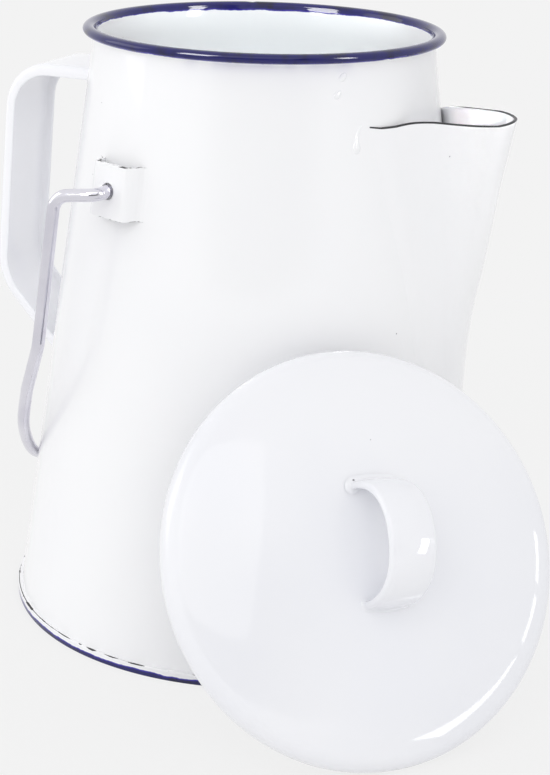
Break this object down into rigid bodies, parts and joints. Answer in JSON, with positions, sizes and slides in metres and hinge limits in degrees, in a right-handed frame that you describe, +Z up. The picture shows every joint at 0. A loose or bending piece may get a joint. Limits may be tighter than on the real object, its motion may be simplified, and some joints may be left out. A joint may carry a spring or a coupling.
{
  "type": "enamel coffee kettle",
  "caption": "White enamelled steel coffee kettle with a strap handle, a wire bail and a loose domed lid leaning on its side.",
  "frame": {"origin": "on the pot's axis, at the plane that it stands on", "axes": "+X towards the spout, +Y to the left of someone who looks along the spout, +Z up along the pot's axis"},
  "size_m": [0.2187, 0.2211, 0.2016],
  "materials": {
    "white_enamel": "gloss",
    "plated_wire": "gloss"
  },
  "bodies": {
    "pot": {"pot_body": "white_enamel", "bottom_pan": "white_enamel", "spout": "white_enamel", "back_handle": "white_enamel", "bail_ear_left": "white_enamel", "bail_ear_right": "white_enamel"},
    "bail": {"bail": "plated_wire"},
    "lid": {"lid_shell": "white_enamel", "lid_collar": "white_enamel", "lid_knob": "white_enamel"}
  },
  "joints": [
    {"name": "bail_swing", "type": "hinge", "parent": "pot", "child": "bail", "pos_m": [-0.0263, 0, 0.155], "axis": [0, 1, 0], "range_deg": [0, 268]},
    {"name": "lid_lift", "type": "slide", "parent": "pot", "child": "lid", "axis": [0.6384, -0.5953, 0.4879], "range_m": [0, 0.12]}
  ]
}
